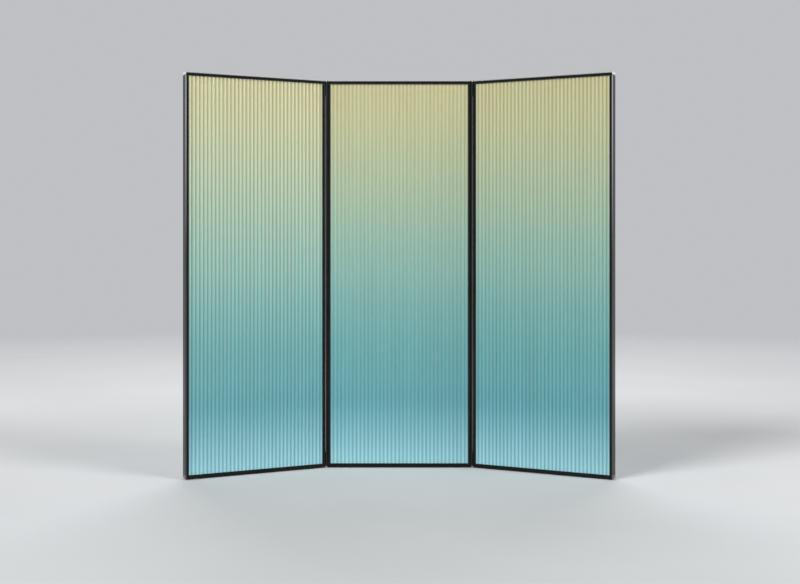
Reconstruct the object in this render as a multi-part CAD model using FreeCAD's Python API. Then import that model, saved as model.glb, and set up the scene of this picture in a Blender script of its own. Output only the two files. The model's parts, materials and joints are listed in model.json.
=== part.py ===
"""Three-leaf folding glass partition.

Each leaf is a slim black metal frame that holds two reeded panes, colour-graded by a film on their inner
faces. The side leaves hang on double-action hinges: links at the top and the foot of each fold turn about a
barrel on the centre leaf's front edge and about another on the side leaf's back edge.

Lengths in mm, +Z up, front towards -Y. The origin is on the floor, at the middle of the standing screen.
"""

import FreeCAD, Part
import math
import os

from FreeCAD import Vector

# The standing screen
overall_height = 1800.0
centre_width = 672.0
fold_angle = 26.3
hinge_gap = 4.0

# Frame members
frame_depth = 46.0
stile_face = 15.5
rail_face = 17.5
edge_radius = 6.0
lip_thickness = 2.0
lip_edge_radius = 0.6
outer_wall = 3.0
core_wall = 2.0

# Glazing
glass_body = 4.0
flute_pitch = 18.0
flute_depth = 2.4
film_thickness = 0.5
film_inset = 2.0
outer_gasket = 1.5
inner_gasket = 2.0
gasket_width = 6.0
glass_cover = 8.0
setting_block_length = 60.0
setting_block_height = 4.0

# Corner joints
cap_length = 5.0
cap_corner_radius = 5.0
cap_fold_radius = 1.5
cap_peg_diameter = 6.0
cap_peg_length = 8.0
key_clearance = 0.1
key_stile_leg = 45.0
key_rail_leg = 40.0
corner_screw_diameter = 5.0
corner_screw_head = 9.2
corner_screw_length = 11.0
corner_screw_key = 3.0
corner_screw_inset = 32.0

# Floor glides
glide_height = 3.0
glide_diameter = 28.0
glide_peg_diameter = 8.0
glide_peg_length = 9.0
glide_inset = 70.0

# Hinges
pin_diameter = 4.0
pin_head_height = 2.2
running_clearance = 0.05
seat_clearance = 0.01
bush_wall = 0.75
bush_length = 25.0
bush_flange = 1.0
barrel_wall = 1.0
knuckle_clearance = 0.35
swing_clearance = 0.6
fold_space = 2.8
flange_thickness = 1.8
flange_width = 14.0
link_height = 66.0
link_inset = 6.0
link_clearance = 0.5
link_end_play = 0.3
barrel_screw_diameter = 3.0
barrel_screw_head = 5.6
barrel_screw_length = 6.5
barrel_screw_key = 2.0
barrel_screw_spacing = 300.0
barrel_screw_end = 60.0

# Heights, and planes of the glazing as distances from the middle of the frame's depth
frame_bottom = glide_height
frame_top = overall_height
half_depth = frame_depth / 2
lip_plane = half_depth - lip_thickness
crest_plane = lip_plane - outer_gasket
valley_plane = crest_plane - flute_depth
pane_inner_plane = valley_plane - glass_body
film_inner_plane = pane_inner_plane - film_thickness
core_plane = film_inner_plane - inner_gasket
chamber_half = core_plane - core_wall
pane_bottom = frame_bottom + outer_wall + setting_block_height
pane_top = frame_top - outer_wall - setting_block_height

# Hinge parts round the pin, and their axes, proud enough for the knuckles to pass the frame's edges
bush_bore = pin_diameter + 2 * running_clearance
bush_diameter = bush_bore + 2 * bush_wall
barrel_bore = bush_diameter + 2 * seat_clearance
barrel_diameter = barrel_bore + 2 * barrel_wall
link_thickness = hinge_gap - 2 * link_clearance
edge_reach = edge_radius + barrel_diameter / 2 + knuckle_clearance
edge_aside = edge_radius + hinge_gap / 2
axis_proud = max(fold_space / 2, math.sqrt(max(edge_reach**2 - edge_aside**2, 0)) - edge_radius)
axis_depth = half_depth + axis_proud
fold_x = (centre_width + hinge_gap) / 2
bottom_link_foot = frame_bottom + link_inset
top_link_foot = frame_top - link_inset - link_height
barrel_bottom = bottom_link_foot + link_height + link_end_play + bush_flange
barrel_top = top_link_foot - link_end_play - bush_flange

# A side leaf is as wide as lets its far corner swing past the barrel of the other fold
swing_reach = 2 * fold_x - barrel_diameter / 2 - swing_clearance - edge_radius
far_edge_depth = half_depth + axis_depth - edge_radius
side_width = math.sqrt(swing_reach**2 - far_edge_depth**2) + edge_radius - hinge_gap / 2

LEFT, RIGHT = -1, 1
FRONT, BACK = -1, 1
LOWER, UPPER = -1, 1
CORNERS = [(end, level) for end in (LEFT, RIGHT) for level in (LOWER, UPPER)]
ALONG = Vector(1, 0, 0)
DEEP = Vector(0, 1, 0)
UP = Vector(0, 0, 1)


# Basic shapes

def box(x0, x1, y0, y1, z0, z1):
    corner = Vector(min(x0, x1), min(y0, y1), min(z0, z1))
    return Part.makeBox(abs(x1 - x0), abs(y1 - y0), abs(z1 - z0), corner)


def upright_rod(diameter, x, y, z0, z1):
    return Part.makeCylinder(diameter / 2, abs(z1 - z0), Vector(x, y, min(z0, z1)))


def placed(shape, offset=Vector(), axis=UP, angle=0.0):
    moved = shape.copy()
    moved.Placement = FreeCAD.Placement(offset, FreeCAD.Rotation(axis, angle)).multiply(moved.Placement)
    return moved


def turned_about(shape):
    return placed(shape, angle=180)


def fused(shapes):
    return shapes[0].multiFuse(shapes[1:]).removeSplitter().Solids[0]


def rounded_rectangle(x0, x1, y0, y1, radii):
    """Face in the XY plane; the radii go round from the (x0, y0) corner, and 0 leaves that corner sharp."""
    corners = [Vector(x0, y0), Vector(x1, y0), Vector(x1, y1), Vector(x0, y1)]
    rounds = []
    for index, corner in enumerate(corners):
        before = (corners[index - 1] - corner).normalize()
        after = (corners[(index + 1) % 4] - corner).normalize()
        radius = radii[index]
        middle = corner + (before + after) * (radius * (1 - math.sqrt(0.5)))
        rounds.append((corner + before * radius, middle, corner + after * radius, radius))
    edges = []
    for index, (enter, middle, leave, radius) in enumerate(rounds):
        if radius > 0:
            edges.append(Part.Arc(enter, middle, leave).toShape())
        following = rounds[(index + 1) % 4][0]
        edges.append(Part.LineSegment(leave, following).toShape())
    return Part.Face(Part.Wire(edges))


def key_socket(key):
    """Socket for a hex key of that size across its flats, sunk along -Z from z = 0 by the same size."""
    corners = [placed(Part.Vertex(key / math.sqrt(3), 0, 0), angle=60 * step).Point for step in range(6)]
    return Part.Face(Part.makePolygon(corners + corners[:1])).extrude(-UP * key)


def countersunk_screw(diameter, head_diameter, length, key, clearance):
    """Screw along -Z with its flat, socketed head at z = 0, or with a clearance the hole for it."""
    radius = diameter / 2 + clearance
    head_radius = head_diameter / 2 + clearance
    head = Part.makeCone(head_radius, radius, head_radius - radius, Vector(), -UP)
    shank = Part.makeCylinder(radius, length + clearance, Vector(), -UP)
    solid = fused([head, shank])
    return solid if clearance else solid.cut(key_socket(key)).Solids[0]


# Frame sections

def member_outline(face):
    """Outline of a frame member: X runs from its outer edge inwards across its face."""
    radii = [edge_radius, lip_edge_radius, lip_edge_radius, edge_radius]
    return rounded_rectangle(0, face, -half_depth, half_depth, radii)


def frame_member(face, length):
    """Extrusion along Z with a glazing groove for each pane and a chamber in its core."""
    front_groove = box(outer_wall, face, -lip_plane, -core_plane, 0, length)
    back_groove = box(outer_wall, face, core_plane, lip_plane, 0, length)
    chamber = box(outer_wall, face - core_wall, -chamber_half, chamber_half, 0, length)
    bar = member_outline(face).extrude(UP * length)
    return bar.cut([front_groove, back_groove, chamber]).Solids[0]


# Corner pieces, built for an upper left corner: X inwards from the leaf's end, Z up to its top at 0

def corner_block(inward0, inward1, down0, down1, half_width):
    return box(inward0, inward1, -half_width, half_width, -down0, -down1)


def key_notch():
    """Opening in the rail's inner wall where the corner key passes into the stile."""
    return corner_block(0, stile_face - core_wall, rail_face - core_wall, rail_face, chamber_half)


def corner_screw(clearance=0.0):
    sizes = (corner_screw_diameter, corner_screw_head, corner_screw_length, corner_screw_key)
    return placed(countersunk_screw(*sizes, clearance), Vector(corner_screw_inset, 0, 0))


def cap_peg(clearance=0.0):
    """Peg of an end cap, or with a clearance its hole in the corner key."""
    root = Vector(cap_length, 0, -(outer_wall + rail_face - core_wall) / 2)
    return Part.makeCylinder(cap_peg_diameter / 2 + clearance, cap_peg_length + clearance, root, ALONG)


def end_cap(corner_radius):
    """Cap that carries the rail's section to the leaf's end and the stile's section round the corner."""
    rail_end = placed(member_outline(rail_face).extrude(UP * cap_length), axis=DEEP, angle=90)
    stile_end = placed(member_outline(stile_face).extrude(UP * rail_face), Vector(0, 0, -rail_face))
    radius = min(corner_radius, cap_length)
    facing = rounded_rectangle(0, stile_face, -2 * rail_face, 0, [0, 0, 0, radius]).extrude(UP * frame_depth)
    facing = placed(facing, Vector(0, half_depth, 0), ALONG, 90)
    return fused([rail_end.common(stile_end).common(facing), cap_peg()])


def corner_key():
    """Bent key: one leg in the rail's chamber, the other through the rail's notch in the stile's chamber."""
    half_width = chamber_half - key_clearance
    start = cap_length + key_clearance
    rail_low = outer_wall + key_clearance
    rail_high = rail_face - core_wall - key_clearance
    stile_inner = stile_face - core_wall - key_clearance
    leg_end = rail_face + key_stile_leg
    legs = [
        corner_block(start, start + key_rail_leg, rail_low, rail_high, half_width),
        corner_block(start, stile_inner, rail_low, leg_end, half_width),
        corner_block(outer_wall + key_clearance, stile_inner, rail_face + key_clearance, leg_end, half_width),
    ]
    return fused(legs).cut([corner_screw(seat_clearance), cap_peg(seat_clearance)]).Solids[0]


# Hinge pieces that follow an upright axis

def barrel_screw_heights():
    first = barrel_bottom + barrel_screw_end
    run = barrel_top - barrel_screw_end - first
    spaces = max(1, round(run / barrel_screw_spacing))
    return [first + run * step / spaces for step in range(spaces + 1)]


def bushes(x, y):
    """Flanged bushes in the lower and upper ends of a barrel."""
    shapes = []
    for mouth, inward in ((barrel_bottom, 1), (barrel_top, -1)):
        outer = mouth - inward * bush_flange
        inner = mouth + inward * bush_length
        sleeve = upright_rod(bush_diameter, x, y, outer, inner)
        flange = upright_rod(barrel_diameter, x, y, outer, mouth)
        shapes.append(fused([sleeve, flange]).cut(upright_rod(bush_bore, x, y, outer, inner)).Solids[0])
    return shapes


def link(x, foot):
    """Plate in the gap of a flat fold with a knuckle on its front and on its back axis."""
    top = foot + link_height
    plate = box(x - link_thickness / 2, x + link_thickness / 2, -axis_depth, axis_depth, foot, top)
    knuckles = [upright_rod(barrel_diameter, x, face * axis_depth, foot, top) for face in (FRONT, BACK)]
    bore = pin_diameter + 2 * seat_clearance
    holes = [upright_rod(bore, x, face * axis_depth, foot, top) for face in (FRONT, BACK)]
    return fused([plate] + knuckles).cut(holes).Solids[0]


def hinge_pins(x):
    """Headed pins, driven through the links' knuckles into the bushes."""
    top_link_top = top_link_foot + link_height
    runs = [
        (bottom_link_foot - pin_head_height, bottom_link_foot, barrel_bottom + bush_length),
        (top_link_top + pin_head_height, top_link_top, barrel_top - bush_length),
    ]
    pins = []
    for y in (-axis_depth, axis_depth):
        for head_end, seat, tip in runs:
            head = upright_rod(barrel_diameter, x, y, head_end, seat)
            pins.append(fused([head, upright_rod(pin_diameter, x, y, head_end, tip)]))
    return pins


class Leaf:
    """One leaf in its own frame: X across it from its middle, front face towards -Y, Z up from the floor."""

    def __init__(self, width):
        self.half = width / 2
        self.pane_half = self.half - stile_face + glass_cover
        self.sight_half = self.half - stile_face
        self.axis_x = self.half + hinge_gap / 2

    def at_corner(self, shape, end, level):
        """Piece built for an upper left corner, moved to one of the four."""
        turns = {
            (LEFT, UPPER): (UP, 0),
            (RIGHT, UPPER): (UP, 180),
            (LEFT, LOWER): (ALONG, 180),
            (RIGHT, LOWER): (DEEP, 180),
        }
        axis, angle = turns[end, level]
        height = frame_top if level == UPPER else frame_bottom
        return placed(shape, Vector(end * self.half, 0, height), axis, angle)

    def at_corners(self, shape):
        return [self.at_corner(shape, end, level) for end, level in CORNERS]

    def glide_places(self):
        return [end * (self.half - glide_inset) for end in (LEFT, RIGHT)]

    # Frame

    def rail(self, level):
        half_length = self.half - cap_length
        height = frame_top if level == UPPER else frame_bottom
        bar = frame_member(rail_face, 2 * half_length)
        bar = placed(bar, Vector(-level * half_length, 0, height), DEEP, level * 90)
        cutters = (key_notch(), corner_screw(seat_clearance))
        cuts = [self.at_corner(cutter, end, level) for cutter in cutters for end in (LEFT, RIGHT)]
        if level == LOWER:
            hole = glide_peg_diameter + 2 * seat_clearance
            cuts += [upright_rod(hole, x, 0, 0, frame_bottom + outer_wall) for x in self.glide_places()]
        return bar.cut(cuts).Solids[0]

    def stile(self, end, barrel_face=None):
        """Stile between the rails, drilled along the face where a barrel is fixed to it."""
        bar = frame_member(stile_face, frame_top - frame_bottom - 2 * rail_face)
        turn = 0 if end == LEFT else 180
        bar = placed(bar, Vector(end * self.half, 0, frame_bottom + rail_face), UP, turn)
        if barrel_face is not None:
            bar = bar.cut(self.barrel_screws(end, barrel_face, seat_clearance))
        return bar.Solids[0]

    def end_caps(self, left_radius, right_radius):
        radii = {LEFT: left_radius, RIGHT: right_radius}
        return [self.at_corner(end_cap(radii[end]), end, level) for end, level in CORNERS]

    def glides(self):
        shapes = []
        for x in self.glide_places():
            pad = upright_rod(glide_diameter, x, 0, 0, glide_height)
            peg = upright_rod(glide_peg_diameter, x, 0, 0, glide_height + glide_peg_length)
            shapes.append(fused([pad, peg]))
        return shapes

    # Glazing of the front; turned about, it is the glazing of the back

    def reeded_pane(self):
        """Pane with upright convex reeds and a flat margin on its outer face, and a flat inner face."""
        count = int(2 * self.pane_half // flute_pitch)
        reeds_half = count * flute_pitch / 2
        outline = [
            Vector(-reeds_half, -valley_plane),
            Vector(-self.pane_half, -valley_plane),
            Vector(-self.pane_half, -pane_inner_plane),
            Vector(self.pane_half, -pane_inner_plane),
            Vector(self.pane_half, -valley_plane),
            Vector(reeds_half, -valley_plane),
        ]
        edges = [Part.LineSegment(a, b).toShape() for a, b in zip(outline, outline[1:]) if a != b]
        for reed in reversed(range(count)):
            left = reed * flute_pitch - reeds_half
            right = left + flute_pitch
            crest = Vector((left + right) / 2, -crest_plane)
            edges.append(Part.Arc(Vector(right, -valley_plane), crest, Vector(left, -valley_plane)).toShape())
        section = placed(Part.Face(Part.Wire(edges)), UP * pane_bottom)
        return section.extrude(UP * (pane_top - pane_bottom))

    def colour_film(self):
        half = self.pane_half - film_inset
        low = pane_bottom + film_inset
        return box(-half, half, -pane_inner_plane, -film_inner_plane, low, pane_top - film_inset)

    def gasket_strips(self):
        """Strips outside and inside one pane: level in the rails, and upright between them in the stiles."""
        reach = self.sight_half + gasket_width
        low = frame_bottom + rail_face
        high = frame_top - rail_face
        strips = []
        for y0, y1 in ((-lip_plane, -crest_plane), (-film_inner_plane, -core_plane)):
            strips.append(box(-reach, reach, y0, y1, low - gasket_width, low))
            strips.append(box(-reach, reach, y0, y1, high, high + gasket_width))
            strips += [box(end * self.sight_half, end * reach, y0, y1, low, high) for end in (LEFT, RIGHT)]
        return strips

    def setting_blocks(self):
        """Two blocks under one pane, on the floor of the bottom rail's groove."""
        blocks = []
        for middle in (-self.pane_half / 2, self.pane_half / 2):
            x0 = middle - setting_block_length / 2
            x1 = middle + setting_block_length / 2
            low = frame_bottom + outer_wall
            blocks.append(box(x0, x1, -crest_plane, -film_inner_plane, low, pane_bottom))
        return blocks

    # Hinge barrel along one end, at the front or the back

    def barrel_screws(self, end, face, clearance=0.0):
        """Screws through a barrel's flange into the stile's outer wall, or with a clearance their holes."""
        sizes = (barrel_screw_diameter, barrel_screw_head, barrel_screw_length, barrel_screw_key)
        screw = countersunk_screw(*sizes, clearance)
        x = end * (self.half + flange_thickness)
        y = face * (half_depth - edge_radius - flange_width / 2)
        return [placed(screw, Vector(x, y, height), DEEP, end * 90) for height in barrel_screw_heights()]

    def barrel(self, end, face):
        """Tube whose flange lies on the stile's end face."""
        x = end * self.axis_x
        y = face * axis_depth
        tube = upright_rod(barrel_diameter, x, y, barrel_bottom, barrel_top)
        flange_end = face * (half_depth - edge_radius - flange_width)
        seat_x = end * self.half
        flange = box(seat_x, seat_x + end * flange_thickness, y, flange_end, barrel_bottom, barrel_top)
        holes = self.barrel_screws(end, face, seat_clearance)
        holes.append(upright_rod(barrel_bore, x, y, barrel_bottom, barrel_top))
        return fused([tube, flange]).cut(holes).Solids[0]

    def hinge_bushes(self, end, face):
        return bushes(end * self.axis_x, face * axis_depth)

    def pieces(self, name, end_radii):
        """Everything but the stiles and the hinges."""
        gaskets = self.gasket_strips()
        blocks = self.setting_blocks()
        shapes = {
            "top_rail": [self.rail(UPPER)],
            "bottom_rail": [self.rail(LOWER)],
            "rail_end_caps": self.end_caps(*end_radii),
            "corner_keys": self.at_corners(corner_key()),
            "corner_screws": self.at_corners(corner_screw()),
            "front_pane": [self.reeded_pane()],
            "back_pane": [turned_about(self.reeded_pane())],
            "front_film": [self.colour_film()],
            "back_film": [turned_about(self.colour_film())],
            "gaskets": gaskets + [turned_about(strip) for strip in gaskets],
            "setting_blocks": blocks + [turned_about(block) for block in blocks],
            "glides": self.glides(),
        }
        return {f"{name}_{piece}": solids for piece, solids in shapes.items()}


# Leaves and folds put together

def centre_leaf():
    leaf = Leaf(centre_width)
    pieces = leaf.pieces("centre", (cap_fold_radius, cap_fold_radius))
    pieces["centre_left_stile"] = [leaf.stile(LEFT, FRONT)]
    pieces["centre_right_stile"] = [leaf.stile(RIGHT, FRONT)]
    pieces["left_front_barrel"] = [leaf.barrel(LEFT, FRONT)]
    pieces["right_front_barrel"] = [leaf.barrel(RIGHT, FRONT)]
    pieces["centre_hinge_bushes"] = leaf.hinge_bushes(LEFT, FRONT) + leaf.hinge_bushes(RIGHT, FRONT)
    pieces["centre_barrel_screws"] = leaf.barrel_screws(LEFT, FRONT) + leaf.barrel_screws(RIGHT, FRONT)
    return pieces


def side_leaf(name, side):
    leaf = Leaf(side_width)
    hinge_end = -side
    radii = {hinge_end: cap_fold_radius, side: cap_corner_radius}
    pieces = leaf.pieces(name, (radii[LEFT], radii[RIGHT]))
    pieces[f"{name}_hinge_stile"] = [leaf.stile(hinge_end, BACK)]
    pieces[f"{name}_outer_stile"] = [leaf.stile(side)]
    pieces[f"{name}_rear_barrel"] = [leaf.barrel(hinge_end, BACK)]
    pieces[f"{name}_hinge_bushes"] = leaf.hinge_bushes(hinge_end, BACK)
    pieces[f"{name}_barrel_screws"] = leaf.barrel_screws(hinge_end, BACK)
    return pieces


def fold_links(name, side):
    return {
        f"{name}_top_link": [link(side * fold_x, top_link_foot)],
        f"{name}_bottom_link": [link(side * fold_x, bottom_link_foot)],
        f"{name}_hinge_pins": hinge_pins(side * fold_x),
    }


def fold_placement(side):
    """Turn of a side leaf and its links about the fold's front axis, from flat to the standing pose."""
    axis = Vector(side * fold_x, -axis_depth, 0)
    turn = FreeCAD.Rotation(UP, -side * fold_angle)
    return FreeCAD.Placement(axis - turn.multVec(axis), turn)


def moved_by(placement, pieces):
    moved = {}
    for name, shapes in pieces.items():
        moved[name] = [shape.copy() for shape in shapes]
        for shape in moved[name]:
            shape.Placement = placement.multiply(shape.Placement)
    return moved


def standing_screen():
    pieces = centre_leaf()
    for name, side in (("left", LEFT), ("right", RIGHT)):
        fold = fold_placement(side)
        middle_x = side * (fold_x + (side_width + hinge_gap) / 2)
        in_line = FreeCAD.Placement(Vector(middle_x, 0, 0), FreeCAD.Rotation())
        pieces.update(moved_by(fold.multiply(in_line), side_leaf(name, side)))
        pieces.update(moved_by(fold, fold_links(name, side)))
    return pieces


def main():
    pieces = standing_screen()
    outline = Part.makeCompound([shape for shapes in pieces.values() for shape in shapes]).BoundBox
    to_origin = Vector(0, -outline.Center.y, 0)

    os.makedirs("parts", exist_ok=True)
    for name, shapes in moved_by(FreeCAD.Placement(to_origin, FreeCAD.Rotation()), pieces).items():
        piece = shapes[0] if len(shapes) == 1 else Part.makeCompound(shapes)
        piece.exportStep(os.path.join("parts", f"{name}.step"))

    for name, side in (("left", LEFT), ("right", RIGHT)):
        front_axis = Vector(side * fold_x, -axis_depth, 0) + to_origin
        back_axis = fold_placement(side).multVec(Vector(side * fold_x, axis_depth, 0)) + to_origin
        print(f"{name} front axis at {front_axis.x:.4f}, {front_axis.y:.4f}")
        print(f"{name} back axis at {back_axis.x:.4f}, {back_axis.y:.4f}")
    print(f"side leaf width {side_width:.3f}, axes {axis_proud:.3f} proud, moved by {to_origin.y:.4f} in Y")


main()
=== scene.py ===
"""Looks of the folding glass partition: finishes, reeded panes, studio and camera.

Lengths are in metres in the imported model's frame: +X across, +Y to the back, +Z up from the floor.
"""

import json
import math

import bpy
from mathutils import Matrix, Vector


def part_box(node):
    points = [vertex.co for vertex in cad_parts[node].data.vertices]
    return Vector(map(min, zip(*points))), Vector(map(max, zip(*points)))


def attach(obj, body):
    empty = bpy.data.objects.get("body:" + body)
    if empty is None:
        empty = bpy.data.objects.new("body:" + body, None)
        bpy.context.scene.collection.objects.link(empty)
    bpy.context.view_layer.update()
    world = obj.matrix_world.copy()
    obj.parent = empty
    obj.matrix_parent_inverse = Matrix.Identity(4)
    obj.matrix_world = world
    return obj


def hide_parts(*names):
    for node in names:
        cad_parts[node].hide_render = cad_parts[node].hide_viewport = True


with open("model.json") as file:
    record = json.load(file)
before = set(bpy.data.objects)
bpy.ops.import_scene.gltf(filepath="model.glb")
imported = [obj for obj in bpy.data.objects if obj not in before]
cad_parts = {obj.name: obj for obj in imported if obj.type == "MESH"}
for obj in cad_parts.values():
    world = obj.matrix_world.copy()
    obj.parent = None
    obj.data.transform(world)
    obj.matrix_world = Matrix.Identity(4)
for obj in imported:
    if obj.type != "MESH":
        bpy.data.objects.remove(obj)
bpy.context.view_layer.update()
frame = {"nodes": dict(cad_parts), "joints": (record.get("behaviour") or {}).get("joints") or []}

# Reeds: their spacing, as in the solids, the facets in each, and the bend that stays sharp in the shading
flute_pitch = 0.018
flute_steps = 12
valley_angle = math.radians(25)

# Air between a pane and its film, and the distance under which two points are in one place
film_gap = 0.0002
same_place = 1e-5

# Heights between which the glass shows
glass_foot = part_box("centre_bottom_rail")[1].z
glass_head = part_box("centre_top_rail")[0].z

# Camera: what the photograph's edges give, in pixels of its 800 x 584 frame, and the eye height in metres
image_width = 800.0
image_height = 584.0
focal_pixels = 1200.0
horizon_row = 243.95
middle_column = 399.15
hinge_line_pixels = 145.55
camera_height = 1.04

# Blender's usual sensor, in millimetres
sensor_width = 36.0

joints = {joint["name"]: joint for joint in frame["joints"]}
left_hinge = Vector(joints["left_front_fold"]["pos_m"])
right_hinge = Vector(joints["right_front_fold"]["pos_m"])
fold_angle = math.radians(-joints["left_front_fold"]["range_deg"][0])


class Leaf:
    """One leaf's own directions at rest: across it to the viewer's right, and from its front to its back.

    The outer side is -1 where the leaf's free end is on the viewer's left, 1 on the right, and 0 for none.
    """

    def __init__(self, name, turn, outer_side):
        self.name = name
        self.body = f"{name}_panel"
        self.turn = turn
        self.outer_side = outer_side
        self.to_frame = Matrix.Rotation(turn, 4, "Z")
        self.to_leaf = self.to_frame.inverted()

    def points(self, node):
        """A node's mesh points along the leaf's own directions."""
        return [self.to_leaf @ vertex.co for vertex in frame["nodes"][node].data.vertices]

    def span(self, node):
        """Lowest and highest corner of a node along the leaf's own directions."""
        points = self.points(node)
        low = Vector([min(point[axis] for point in points) for axis in range(3)])
        high = Vector([max(point[axis] for point in points) for axis in range(3)])
        return low, high

    def margin(self, node, facing):
        """Plane of the flat margin on a pane's outer face, which is the bottom of the valleys."""
        points = self.points(node)
        edge = min(point.x for point in points)
        return facing * max(facing * point.y for point in points if point.x - edge < same_place)


leaves = [Leaf("left", fold_angle, -1), Leaf("centre", 0.0, 0), Leaf("right", -fold_angle, 1)]


def reed_count(width):
    """Whole reeds that fit across a pane."""
    return int((width + same_place) / flute_pitch)


# Material helpers

# Most values of a noise texture lie between these
noise_low = 0.3
noise_high = 0.7


def grey(value):
    return (value, value, value, 1.0)


def srgb(red, green, blue):
    """Colour written in 0 to 255 display values, as linear RGBA."""
    def linear(value):
        share = value / 255
        return share / 12.92 if share <= 0.04045 else ((share + 0.055) / 1.055) ** 2.4
    return (linear(red), linear(green), linear(blue), 1.0)


class Finish:
    """A node material whose parts are added one by one."""

    def __init__(self, name):
        self.material = bpy.data.materials.new(name)
        self.material.use_nodes = True
        self.tree = self.material.node_tree
        self.shader = self.tree.nodes["Principled BSDF"]

    def add(self, kind, **values):
        """A new node with its settings."""
        node = self.tree.nodes.new(kind)
        for key, value in values.items():
            setattr(node, key, value)
        return node

    def join(self, source, target):
        self.tree.links.new(source, target)

    def put(self, value, socket):
        """Joins another node's output to the socket, or sets a plain value on it."""
        if isinstance(value, bpy.types.NodeSocket):
            self.join(value, socket)
        else:
            socket.default_value = value

    def feed(self, name, source):
        """Joins an output to the shader's socket of that name."""
        self.join(source, self.shader.inputs[name])

    def set(self, **values):
        """Sets plain values on the shader's own sockets; a name has _ in place of each space."""
        for name, value in values.items():
            self.shader.inputs[name.replace("_", " ")].default_value = value

    def place(self, turn=0.0, stretch=(1.0, 1.0, 1.0)):
        """Coordinates in the leaf's own directions, multiplied by a number along each."""
        coordinates = self.add("ShaderNodeTexCoord")
        mapping = self.add("ShaderNodeMapping", vector_type="TEXTURE")
        mapping.inputs["Rotation"].default_value = (0.0, 0.0, turn)
        mapping.inputs["Scale"].default_value = [1 / value for value in stretch]
        self.join(coordinates.outputs["Object"], mapping.inputs["Vector"])
        return mapping.outputs["Vector"]

    def along(self, vector, axis):
        """The part of a place or direction along X, Y or Z."""
        parts = self.add("ShaderNodeSeparateXYZ")
        self.join(vector, parts.inputs["Vector"])
        return parts.outputs[axis]

    def height(self):
        """Height above the floor."""
        return self.along(self.place(), "Z")

    def noise(self, place, scale=1.0, detail=3.0):
        """Soft noise from 0 to 1."""
        texture = self.add("ShaderNodeTexNoise")
        texture.inputs["Scale"].default_value = scale
        texture.inputs["Detail"].default_value = detail
        self.join(place, texture.inputs["Vector"])
        return texture.outputs["Fac"]

    def calculate(self, operation, *values):
        """One math operation; each value is an output or a plain number."""
        node = self.add("ShaderNodeMath", operation=operation)
        for value, socket in zip(values, node.inputs):
            self.put(value, socket)
        return node.outputs["Value"]

    def spread(self, source, low, high, start=noise_low, end=noise_high):
        """A value or colour that goes from low to high as the source goes from start to end."""
        if isinstance(low, tuple):
            ramp = self.add("ShaderNodeValToRGB")
            first, last = ramp.color_ramp.elements
            first.position, first.color = start, low
            last.position, last.color = end, high
            self.join(source, ramp.inputs["Fac"])
            return ramp.outputs["Color"]
        node = self.add("ShaderNodeMapRange")
        for name, value in (("From Min", start), ("From Max", end), ("To Min", low), ("To Max", high)):
            self.put(value, node.inputs[name])
        self.join(source, node.inputs["Value"])
        return node.outputs["Result"]

    def mix(self, share, first, second, blend="MIX"):
        """Two colours mixed; the share and each colour are an output or a plain value."""
        node = self.add("ShaderNodeMix", data_type="RGBA", blend_type=blend)
        share_socket, first_socket, second_socket = node.inputs[0], node.inputs[6], node.inputs[7]
        for value, socket in ((share, share_socket), (first, first_socket), (second, second_socket)):
            self.put(value, socket)
        return node.outputs[2]

    def normal(self, turn):
        """The surface's normal in the leaf's own directions, whatever pose the leaf is in."""
        to_object = self.add("ShaderNodeVectorTransform", vector_type="NORMAL")
        to_object.convert_from = "WORLD"
        to_object.convert_to = "OBJECT"
        self.join(self.add("ShaderNodeNewGeometry").outputs["Normal"], to_object.inputs["Vector"])
        to_leaf = self.add("ShaderNodeVectorRotate", rotation_type="Z_AXIS")
        to_leaf.inputs["Angle"].default_value = -turn
        self.join(to_object.outputs["Vector"], to_leaf.inputs["Vector"])
        return to_leaf.outputs["Vector"]

    def bump(self, source, distance):
        """Raises the surface where the source is high, by up to the distance."""
        node = self.add("ShaderNodeBump")
        node.inputs["Distance"].default_value = distance
        self.join(source, node.inputs["Height"])
        self.feed("Normal", node.outputs["Normal"])


# Metal and rubber

# Cycles of the die lines in a metre of extrusion, along it and across it
die_lines_along = 4.0
die_lines_across = 700.0
level_lines = (die_lines_along, die_lines_across, die_lines_across)
upright_lines = (die_lines_across, die_lines_across, die_lines_along)

# Largest part of the normal up to which an edge counts as rounded, and from which it counts as flat
edge_normal = 0.93
flat_normal = 0.985

# Painted highlight on the rounded edges: heights between which it grows lighter and lighter, its grey at
# each, and the edges' roughness
edge_highlight_low = 1.0
edge_highlight_high = 1.6
edge_highlight_least = 0.05
edge_highlight_most = 0.3
edge_roughness = 0.5

# Outward parts of the normal between which a cap goes from black to bare metal
cap_side = 0.4
cap_end = 0.6

# Heights between which the bare metal goes from dull, a painted shade, to bright, a painted highlight, just
# over the glass
cap_highlight_start = glass_head + 0.003
cap_highlight_end = glass_head + 0.007

# Stretch of the noise that makes the rings on a turned piece, which are finest up its axis
ring_stretch = (300.0, 300.0, 3000.0)


def rounded_edge_mask(finish, turn):
    """1 on the rounded edges and 0 on the flats, where one part of the normal is all of it."""
    normal = finish.normal(turn)
    parts = [finish.calculate("ABSOLUTE", finish.along(normal, axis)) for axis in "XYZ"]
    flatness = parts[0]
    for part in parts[1:]:
        flatness = finish.calculate("MAXIMUM", flatness, part)
    return finish.spread(flatness, 1.0, 0.0, start=edge_normal, end=flat_normal)


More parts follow.
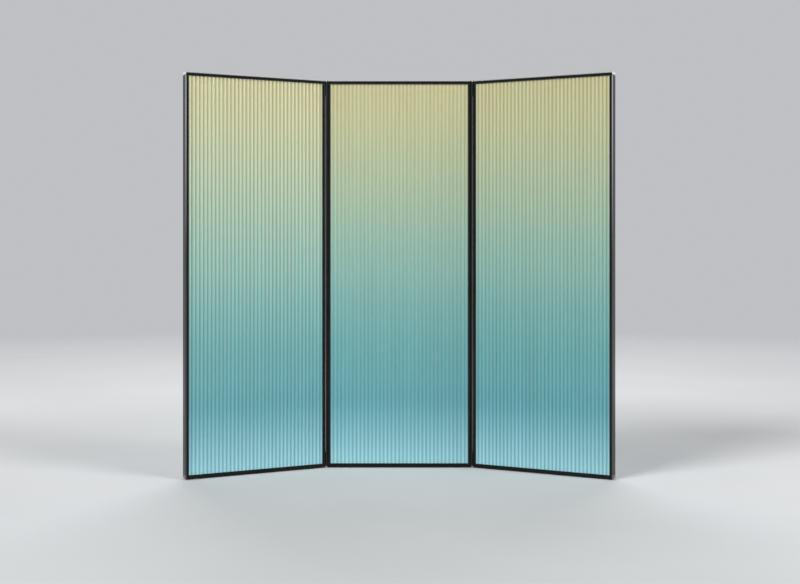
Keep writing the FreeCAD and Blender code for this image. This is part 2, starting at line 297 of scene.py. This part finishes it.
def anodised_black(name, turn, line_stretch, edge_highlight):
    """Satin black anodised extrusion with die lines along it; its rounded edges can get a painted highlight,
    lighter towards the top.
    """
    finish = Finish(name)
    die_lines = finish.noise(finish.place(turn, line_stretch), detail=4.0)
    cloud = finish.noise(finish.place(turn), scale=9.0)
    colour = finish.spread(cloud, grey(0.004), grey(0.008))
    roughness = finish.spread(die_lines, 0.12, 0.2)
    # Painted highlight: the rounded edges are painted a lighter grey, more and more towards the top, and
    # made rougher
    if edge_highlight:
        edge = rounded_edge_mask(finish, turn)
        edge_highlight_grey = finish.spread(finish.height(), edge_highlight_least, edge_highlight_most, start=edge_highlight_low, end=edge_highlight_high)
        colour = finish.mix(edge, colour, edge_highlight_grey)
        roughness = finish.spread(edge, roughness, edge_roughness, start=0.0, end=1.0)
    finish.feed("Base Color", colour)
    finish.feed("Roughness", roughness)
    finish.set(Specular_IOR_Level=0.18)
    finish.bump(die_lines, 0.00001)
    return finish.material


def powder_black(name):
    """Powder-coated hinge metal."""
    finish = Finish(name)
    speckle = finish.noise(finish.place(), scale=900.0)
    finish.feed("Base Color", finish.spread(speckle, grey(0.008), grey(0.014)))
    finish.feed("Roughness", finish.spread(speckle, 0.26, 0.38))
    finish.set(Specular_IOR_Level=0.25)
    finish.bump(speckle, 0.00003)
    return finish.material


def bare_cap(name, turn, outer_side):
    """Black cap whose end face is bare metal, with a painted highlight at the head of the leaf and painted
    shade at its foot.
    """
    finish = Finish(name)
    outward = finish.along(finish.normal(turn), "X")
    bare = finish.spread(outward, 0.0, 1.0, start=cap_side * outer_side, end=cap_end * outer_side)
    # Painted highlight and painted shade: the bare end face is painted bright above the glass's head and
    # dull below it
    cap_highlight_share = finish.spread(finish.height(), 0.0, 1.0, start=cap_highlight_start, end=cap_highlight_end)
    grain = finish.noise(finish.place(turn), scale=900.0)
    cap_highlight_grey = finish.spread(grain, grey(0.64), grey(0.74))
    dull = grey(0.1)
    black = grey(0.006)
    finish.feed("Base Color", finish.mix(bare, black, finish.mix(cap_highlight_share, dull, cap_highlight_grey)))
    finish.feed("Roughness", finish.spread(grain, 0.25, 0.4))
    finish.set(Specular_IOR_Level=0.3)
    finish.bump(grain, 0.00002)
    return finish.material


def matte_rubber(name):
    """Rubber and nylon with a fine moulded grain."""
    finish = Finish(name)
    grain = finish.noise(finish.place(), scale=1500.0)
    finish.feed("Base Color", finish.spread(grain, grey(0.008), grey(0.016)))
    finish.feed("Roughness", finish.spread(grain, 0.6, 0.8))
    finish.bump(grain, 0.00005)
    return finish.material


def turned_metal(name, low, high):
    """Metal between two colours, with fine rings round the upright axis."""
    finish = Finish(name)
    rings = finish.noise(finish.place(stretch=ring_stretch))
    finish.feed("Base Color", finish.spread(rings, low, high))
    finish.feed("Roughness", finish.spread(rings, 0.2, 0.34))
    finish.set(Metallic=1.0)
    finish.bump(rings, 0.00002)
    return finish.material


# Glass and film

# Colours down the glass, by share of its visible height from the foot
glass_stops = [
    (0.00, srgb(177, 237, 249)),
    (0.13, srgb(94, 171, 182)),
    (0.21, srgb(103, 170, 178)),
    (0.36, srgb(109, 175, 175)),
    (0.60, srgb(160, 198, 182)),
    (0.85, srgb(212, 214, 177)),
    (1.00, srgb(218, 214, 173)),
]

# Painted shade and highlight on the reeds: the power that the colour is raised to on the crests, for a
# painted highlight, and in the valleys, for painted shade, below middle height and at the head
crest_power = 0.85
valley_power = 1.17
head_valley_power = 1.85
middle_height = 0.9

# Shade in the valleys at the foot of the glass, and the heights between which it fades out
foot_shade = 0.66
shade_start = glass_foot + 0.08
shade_end = glass_foot + 0.4

# Unevenness that rolling leaves, counted in reeds across the glass and much longer up it, and its tints
rolling_stretch = (1 / flute_pitch, 1.0, 1.2)
rolling_scale = 0.7
warm_tint = (0.96, 0.93, 0.91, 1.0)
clear_tint = (0.98, 1.0, 1.0, 1.0)


def graded_colour(finish):
    """Colour ramp from the foot of the glass to its head."""
    share = finish.spread(finish.height(), 0.0, 1.0, start=glass_foot, end=glass_head)
    ramp = finish.add("ShaderNodeValToRGB")
    ramp.color_ramp.interpolation = "B_SPLINE"
    elements = ramp.color_ramp.elements
    elements.remove(elements[-1])
    elements[0].position, elements[0].color = glass_stops[0]
    for position, colour in glass_stops[1:]:
        elements.new(position).color = colour
    finish.join(share, ramp.inputs["Fac"])
    return ramp.outputs["Color"]


def reeded_colour(finish, leaf):
    """The graded colour, with painted shade in the valleys between the reeds and a painted highlight on
    their crests.
    """
    low, high = leaf.span(f"{leaf.name}_front_pane")
    first_valley = (low.x + high.x - reed_count(high.x - low.x) * flute_pitch) / 2
    across = finish.calculate("SUBTRACT", finish.along(finish.place(leaf.turn), "X"), first_valley)
    from_valley = finish.calculate("PINGPONG", across, flute_pitch / 2)
    height = finish.height()
    # Painted shade in the valleys and painted highlight on the crests, stronger towards the head
    valley = finish.spread(height, valley_power, head_valley_power, start=middle_height, end=glass_head)
    power = finish.spread(from_valley, valley, crest_power, start=0.0, end=flute_pitch / 2)
    reed_shaded = finish.add("ShaderNodeGamma")
    finish.join(graded_colour(finish), reed_shaded.inputs["Color"])
    finish.join(power, reed_shaded.inputs["Gamma"])
    valley_shade = finish.spread(height, foot_shade, 1.0, start=shade_start, end=shade_end)
    shade = finish.spread(from_valley, valley_shade, 1.0, start=0.0, end=flute_pitch / 2)
    return finish.mix(1.0, reed_shaded.outputs["Color"], shade, blend="MULTIPLY")


def reeded_glass(leaf):
    """Translucent rolled glass that takes its colour from the film."""
    finish = Finish(f"reeded_glass_{leaf.name}")
    rolled = finish.noise(finish.place(leaf.turn, rolling_stretch), scale=rolling_scale)
    tint = finish.spread(rolled, warm_tint, clear_tint)
    finish.feed("Base Color", finish.mix(1.0, reeded_colour(finish, leaf), tint, blend="MULTIPLY"))
    finish.feed("Roughness", finish.spread(rolled, 0.3, 0.38))
    finish.set(IOR=1.5, Transmission_Weight=0.2, Coat_Weight=0.25, Coat_Roughness=0.12)
    finish.bump(rolled, 0.00006)
    return finish.material


def graded_film():
    """The film behind the panes, in the same colours."""
    finish = Finish("graded_film")
    grain = finish.noise(finish.place(), scale=1200.0)
    finish.feed("Base Color", graded_colour(finish))
    finish.feed("Roughness", finish.spread(grain, 0.45, 0.6))
    return finish.material


# Panes

def pane_profile(width, valley, crest):
    """Points across a pane's outer face: a flat margin, the reeds as arcs, and the other margin."""
    count = reed_count(width)
    reeds_half = count * flute_pitch / 2
    depth = crest - valley
    radius = (flute_pitch ** 2 / 4 + depth ** 2) / (2 * abs(depth))
    sweep = math.asin(flute_pitch / 2 / radius)
    points = [(-width / 2, valley)]
    for reed in range(count):
        middle = (reed + 0.5) * flute_pitch - reeds_half
        for step in range(flute_steps):
            angle = sweep * (2 * step / flute_steps - 1)
            rise = radius * (math.cos(angle) - math.cos(sweep))
            points.append((middle + radius * math.sin(angle), valley + math.copysign(rise, depth)))
    points.append((reeds_half, valley))
    points.append((width / 2, valley))
    return points


def pane_faces(count):
    """Faces of a closed front pane from rows of points: outer and inner at its foot, then at its head."""
    outer_foot, inner_foot, outer_head, inner_head = (row * count for row in range(4))
    faces = []
    for i in range(count - 1):
        j = i + 1
        faces.append((outer_foot + i, outer_foot + j, outer_head + j, outer_head + i))
        faces.append((inner_foot + j, inner_foot + i, inner_head + i, inner_head + j))
        faces.append((outer_foot + j, outer_foot + i, inner_foot + i, inner_foot + j))
        faces.append((outer_head + i, outer_head + j, inner_head + j, inner_head + i))
    last = count - 1
    faces.append((outer_foot, outer_head, inner_head, inner_foot))
    faces.append((inner_foot + last, inner_head + last, outer_head + last, outer_foot + last))
    return faces


def reeded_pane(leaf, face, material):
    """Closed pane with its reeds towards the front or the back, in place of the node."""
    node = f"{leaf.name}_{face}_pane"
    low, high = leaf.span(node)
    if face == "front":
        facing, crest, flat = -1, low.y, high.y
    else:
        facing, crest, flat = 1, high.y, low.y
    profile = pane_profile(high.x - low.x, leaf.margin(node, facing), crest)
    middle = (low.x + high.x) / 2
    points = []
    for z in (low.z, high.z):
        points += [Vector((middle + x, y, z)) for x, y in profile]
        points += [Vector((middle + x, flat + facing * film_gap, z)) for x, y in profile]
    faces = pane_faces(len(profile))
    if face == "back":
        faces = [corners[::-1] for corners in faces]
    mesh = bpy.data.meshes.new(f"{node}_reeded")
    mesh.from_pydata([leaf.to_frame @ point for point in points], [], faces)
    mesh.shade_smooth()
    mesh.set_sharp_from_angle(angle=valley_angle)
    mesh.materials.append(material)
    pane = bpy.data.objects.new(f"{node}_reeded", mesh)
    bpy.context.scene.collection.objects.link(pane)
    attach(pane, leaf.body)
    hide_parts(node)


# Every node in its finish

film = graded_film()
rubber = matte_rubber("rubber")
hinge_black = powder_black("hinge_black")
cast_metal = turned_metal("cast_metal", grey(0.5), grey(0.66))
bush_bronze = turned_metal("bush_bronze", (0.10, 0.07, 0.045, 1.0), (0.16, 0.11, 0.07, 1.0))
screw_black = turned_metal("screw_black", grey(0.04), grey(0.07))


def dress(node, material):
    """Puts a finish on a node that keeps its shape."""
    mesh = frame["nodes"][node].data
    mesh.materials.clear()
    mesh.materials.append(material)


def frame_black(leaf, piece, line_stretch, edge_highlight):
    """The finish of one rail or stile of a leaf."""
    return anodised_black(f"{leaf.name}_{piece}_black", leaf.turn, line_stretch, edge_highlight)


def dress_leaf(leaf):
    """Every piece of a leaf and its two panes; the top rail and a side leaf's outer stile get a painted
    highlight on their rounded edges, and a side leaf's caps are bare.
    """
    bottom_rail = frame_black(leaf, "bottom_rail", level_lines, edge_highlight=False)
    hinge_stile = frame_black(leaf, "hinge_stile", upright_lines, edge_highlight=False)
    finishes = {
        "top_rail": frame_black(leaf, "top_rail", level_lines, edge_highlight=True),
        "bottom_rail": bottom_rail,
        "corner_keys": cast_metal,
        "corner_screws": screw_black,
        "front_film": film,
        "back_film": film,
        "gaskets": rubber,
        "setting_blocks": rubber,
        "glides": rubber,
        "hinge_bushes": bush_bronze,
        "barrel_screws": screw_black,
    }
    if leaf.outer_side:
        finishes["hinge_stile"] = hinge_stile
        finishes["outer_stile"] = frame_black(leaf, "outer_stile", upright_lines, edge_highlight=True)
        finishes["rail_end_caps"] = bare_cap(f"{leaf.name}_cap_polished", leaf.turn, leaf.outer_side)
    else:
        finishes["left_stile"] = hinge_stile
        finishes["right_stile"] = hinge_stile
        finishes["rail_end_caps"] = bottom_rail
    for piece, material in finishes.items():
        dress(f"{leaf.name}_{piece}", material)
    glass = reeded_glass(leaf)
    for face in ("front", "back"):
        reeded_pane(leaf, face, glass)


def dress_fold(side):
    """The hinge between the centre leaf and a side leaf."""
    for piece in ("front_barrel", "rear_barrel", "top_link", "bottom_link"):
        dress(f"{side}_{piece}", hinge_black)
    dress(f"{side}_hinge_pins", cast_metal)


for leaf in leaves:
    dress_leaf(leaf)
for side in ("left", "right"):
    dress_fold(side)


# Studio: a pale floor that fades into pale surroundings, lit by soft distant lights

# Distance from the middle at which the floor starts to fade, and its rim, where it has faded out
floor_solid = 3.5
floor_reach = 9.0
floor_sides = 96
floor_dark = (0.53, 0.54, 0.55, 1.0)
floor_light = (0.57, 0.58, 0.59, 1.0)
ambient_colour = (0.95, 0.97, 1.0, 1.0)
ambient_strength = 0.2
backdrop_colour = (0.52, 0.53, 0.55, 1.0)


def pale_floor():
    """Matt floor that fades out towards its rim."""
    finish = Finish("studio_floor")
    place = finish.place()
    cloud = finish.noise(place, scale=0.8)
    finish.feed("Base Color", finish.spread(cloud, floor_dark, floor_light))
    distance = finish.add("ShaderNodeVectorMath", operation="LENGTH")
    finish.join(place, distance.inputs["Vector"])
    solid = finish.spread(distance.outputs["Value"], 1.0, 0.0, start=floor_solid, end=floor_reach)
    finish.feed("Alpha", solid)
    finish.set(Roughness=0.9, Specular_IOR_Level=0.1)
    return finish.material


def studio_floor():
    """Round floor under the screen, which is no part of it."""
    angles = [2 * math.pi * side / floor_sides for side in range(floor_sides)]
    rim = [(floor_reach * math.cos(angle), floor_reach * math.sin(angle), 0.0) for angle in angles]
    mesh = bpy.data.meshes.new("studio_floor")
    mesh.from_pydata(rim, [], [list(range(floor_sides))])
    mesh.materials.append(pale_floor())
    floor = bpy.data.objects.new("studio_floor", mesh)
    bpy.context.scene.collection.objects.link(floor)


def studio_world():
    """Dim light from all round, and a pale backdrop for what is seen directly, mirrored or through glass."""
    world = bpy.data.worlds.new("studio_world")
    world.use_nodes = True
    tree = world.node_tree
    ambient = tree.nodes["Background"]
    ambient.inputs["Color"].default_value = ambient_colour
    ambient.inputs["Strength"].default_value = ambient_strength
    backdrop = tree.nodes.new("ShaderNodeBackground")
    backdrop.inputs["Color"].default_value = backdrop_colour
    path = tree.nodes.new("ShaderNodeLightPath")
    seen = path.outputs["Is Camera Ray"]
    for kind in ("Is Glossy Ray", "Is Transmission Ray"):
        either = tree.nodes.new("ShaderNodeMath")
        either.operation = "MAXIMUM"
        tree.links.new(seen, either.inputs[0])
        tree.links.new(path.outputs[kind], either.inputs[1])
        seen = either.outputs["Value"]
    mix = tree.nodes.new("ShaderNodeMixShader")
    tree.links.new(seen, mix.inputs[0])
    tree.links.new(ambient.outputs["Background"], mix.inputs[1])
    tree.links.new(backdrop.outputs["Background"], mix.inputs[2])
    tree.links.new(mix.outputs["Shader"], tree.nodes["World Output"].inputs["Surface"])
    bpy.context.scene.world = world


def soft_light(name, azimuth, elevation, width, strength):
    """Distant light; angles in degrees, the azimuth from straight in front round to the viewer's right."""
    turn = math.radians(azimuth)
    rise = math.radians(elevation)
    source = Vector((math.sin(turn) * math.cos(rise), -math.cos(turn) * math.cos(rise), math.sin(rise)))
    lamp = bpy.data.lights.new(name, "SUN")
    lamp.angle = math.radians(width)
    lamp.energy = strength
    light = bpy.data.objects.new(name, lamp)
    light.rotation_euler = source.to_track_quat("Z", "Y").to_euler()
    bpy.context.scene.collection.objects.link(light)


def studio_light():
    """Lights from both sides, a low one for glints on the reeds, and a wide one from behind."""
    soft_light("right_light", azimuth=60.0, elevation=30.0, width=26.0, strength=1.45)
    soft_light("low_light", azimuth=68.0, elevation=6.0, width=20.0, strength=0.95)
    soft_light("left_light", azimuth=-50.0, elevation=33.0, width=26.0, strength=2.75)
    soft_light("back_light", azimuth=180.0, elevation=38.0, width=50.0, strength=1.7)


def make_camera():
    """Level camera on the middle plane, at the distance that the photograph's hinge lines give."""
    hinge_spacing = (right_hinge - left_hinge).length
    distance = focal_pixels * hinge_spacing / hinge_line_pixels
    data = bpy.data.cameras.new("photo_camera")
    data.sensor_width = sensor_width
    data.lens = focal_pixels * sensor_width / image_width
    data.shift_x = (image_width / 2 - middle_column) / image_width
    data.shift_y = (horizon_row - image_height / 2) / image_width
    camera = bpy.data.objects.new("photo_camera", data)
    camera.location = (0.0, left_hinge.y - distance, camera_height)
    camera.rotation_euler = (math.radians(90), 0.0, 0.0)
    bpy.context.scene.collection.objects.link(camera)
    bpy.context.scene.camera = camera


studio_floor()
studio_world()
studio_light()
make_camera()
bpy.context.scene.view_settings.view_transform = "Standard"
